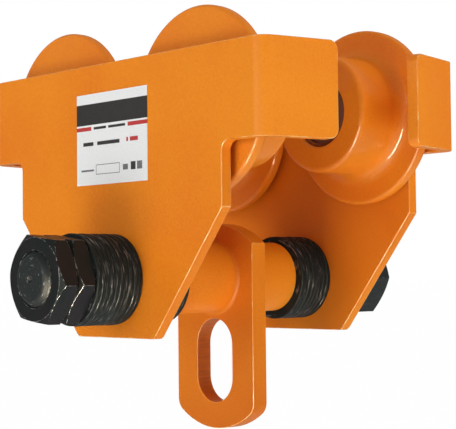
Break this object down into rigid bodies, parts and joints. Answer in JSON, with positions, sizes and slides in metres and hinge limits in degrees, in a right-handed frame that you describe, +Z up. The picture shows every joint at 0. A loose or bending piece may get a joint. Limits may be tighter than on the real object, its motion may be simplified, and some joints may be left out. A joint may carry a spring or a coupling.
{
  "type": "beam trolley",
  "caption": "Plain push trolley for a beam: bent side plates with flanged rollers on ball bearings, a suspension bolt with spacing washers, and a slotted eye plate on a swinging load bar.",
  "frame": {"origin": "middle of the rollers' running plane: halfway along the wheelbase, halfway between the side plates, at the height of the treads' lowest line, which is the top of the beam's lower flange", "axes": "+X along the beam, +Y across the beam towards the bolt's head, +Z up"},
  "size_m": [0.2344, 0.2386, 0.2133],
  "materials": {
    "orange_paint": "glossy orange enamel over sheet steel",
    "wheel_paint": "orange enamel over a turned casting",
    "black_oxide_steel": "black oxide, oiled, bright on worn edges",
    "axle_steel": "turned steel",
    "spring_steel": "dark phosphated spring steel",
    "bearing_steel": "ground bearing steel",
    "cage_steel": "pressed sheet steel",
    "seal_rubber": "moulded nitrile rubber",
    "label_film": "printed white film"
  },
  "bodies": {
    "frame": {"side_plate_front": "orange_paint", "side_plate_rear": "orange_paint", "rating_label": "label_film", "suspension_bolt": "black_oxide_steel", "clamp_nut": "black_oxide_steel", "lock_nut": "black_oxide_steel", "washers_outer_front": "black_oxide_steel", "washers_inner_front": "black_oxide_steel", "washers_inner_rear": "black_oxide_steel", "washers_outer_rear": "black_oxide_steel", "axle_front_left": "axle_steel", "axle_front_right": "axle_steel", "axle_rear_left": "axle_steel", "axle_rear_right": "axle_steel", "axle_welds": "orange_paint", "axle_circlips": "spring_steel", "inner_ring_front_left": "bearing_steel", "inner_ring_front_right": "bearing_steel", "inner_ring_rear_left": "bearing_steel", "inner_ring_rear_right": "bearing_steel"},
    "load_bar": {"load_bar_tube": "orange_paint", "eye_plate": "orange_paint", "eye_plate_welds": "orange_paint"},
    "roller_front_left": {"wheel_front_left": "wheel_paint", "outer_ring_front_left": "bearing_steel", "seals_front_left": "seal_rubber", "retaining_ring_front_left": "spring_steel"},
    "ball_set_front_left": {"balls_front_left": "bearing_steel", "cage_front_left": "cage_steel"},
    "roller_front_right": {"wheel_front_right": "wheel_paint", "outer_ring_front_right": "bearing_steel", "seals_front_right": "seal_rubber", "retaining_ring_front_right": "spring_steel"},
    "ball_set_front_right": {"balls_front_right": "bearing_steel", "cage_front_right": "cage_steel"},
    "roller_rear_left": {"wheel_rear_left": "wheel_paint", "outer_ring_rear_left": "bearing_steel", "seals_rear_left": "seal_rubber", "retaining_ring_rear_left": "spring_steel"},
    "ball_set_rear_left": {"balls_rear_left": "bearing_steel", "cage_rear_left": "cage_steel"},
    "roller_rear_right": {"wheel_rear_right": "wheel_paint", "outer_ring_rear_right": "bearing_steel", "seals_rear_right": "seal_rubber", "retaining_ring_rear_right": "spring_steel"},
    "ball_set_rear_right": {"balls_rear_right": "bearing_steel", "cage_rear_right": "cage_steel"}
  },
  "joints": [
    {"name": "load_bar_swing", "type": "hinge", "parent": "frame", "child": "load_bar", "pos_m": [0, 0, -0.0545], "axis": [0, 1, 0], "range_deg": [-90, 90]},
    {"name": "roller_front_left_spin", "type": "hinge", "parent": "frame", "child": "roller_front_left", "pos_m": [-0.0536, -0.034, 0.031], "axis": [0, 1, 0], "continuous": true},
    {"name": "ball_set_front_left_spin", "type": "hinge", "parent": "frame", "child": "ball_set_front_left", "pos_m": [-0.0536, -0.034, 0.031], "axis": [0, 1, 0], "continuous": true},
    {"name": "roller_front_right_spin", "type": "hinge", "parent": "frame", "child": "roller_front_right", "pos_m": [0.0536, -0.034, 0.031], "axis": [0, 1, 0], "continuous": true},
    {"name": "ball_set_front_right_spin", "type": "hinge", "parent": "frame", "child": "ball_set_front_right", "pos_m": [0.0536, -0.034, 0.031], "axis": [0, 1, 0], "continuous": true},
    {"name": "roller_rear_left_spin", "type": "hinge", "parent": "frame", "child": "roller_rear_left", "pos_m": [-0.0536, 0.034, 0.031], "axis": [0, 1, 0], "continuous": true},
    {"name": "ball_set_rear_left_spin", "type": "hinge", "parent": "frame", "child": "ball_set_rear_left", "pos_m": [-0.0536, 0.034, 0.031], "axis": [0, 1, 0], "continuous": true},
    {"name": "roller_rear_right_spin", "type": "hinge", "parent": "frame", "child": "roller_rear_right", "pos_m": [0.0536, 0.034, 0.031], "axis": [0, 1, 0], "continuous": true},
    {"name": "ball_set_rear_right_spin", "type": "hinge", "parent": "frame", "child": "ball_set_rear_right", "pos_m": [0.0536, 0.034, 0.031], "axis": [0, 1, 0], "continuous": true}
  ],
  "couplings": [
    {"joint": "ball_set_front_left_spin", "follows": "roller_front_left_spin", "ratio": 0.619},
    {"joint": "ball_set_front_right_spin", "follows": "roller_front_right_spin", "ratio": 0.619},
    {"joint": "ball_set_rear_left_spin", "follows": "roller_rear_left_spin", "ratio": 0.619},
    {"joint": "ball_set_rear_right_spin", "follows": "roller_rear_right_spin", "ratio": 0.619}
  ]
}
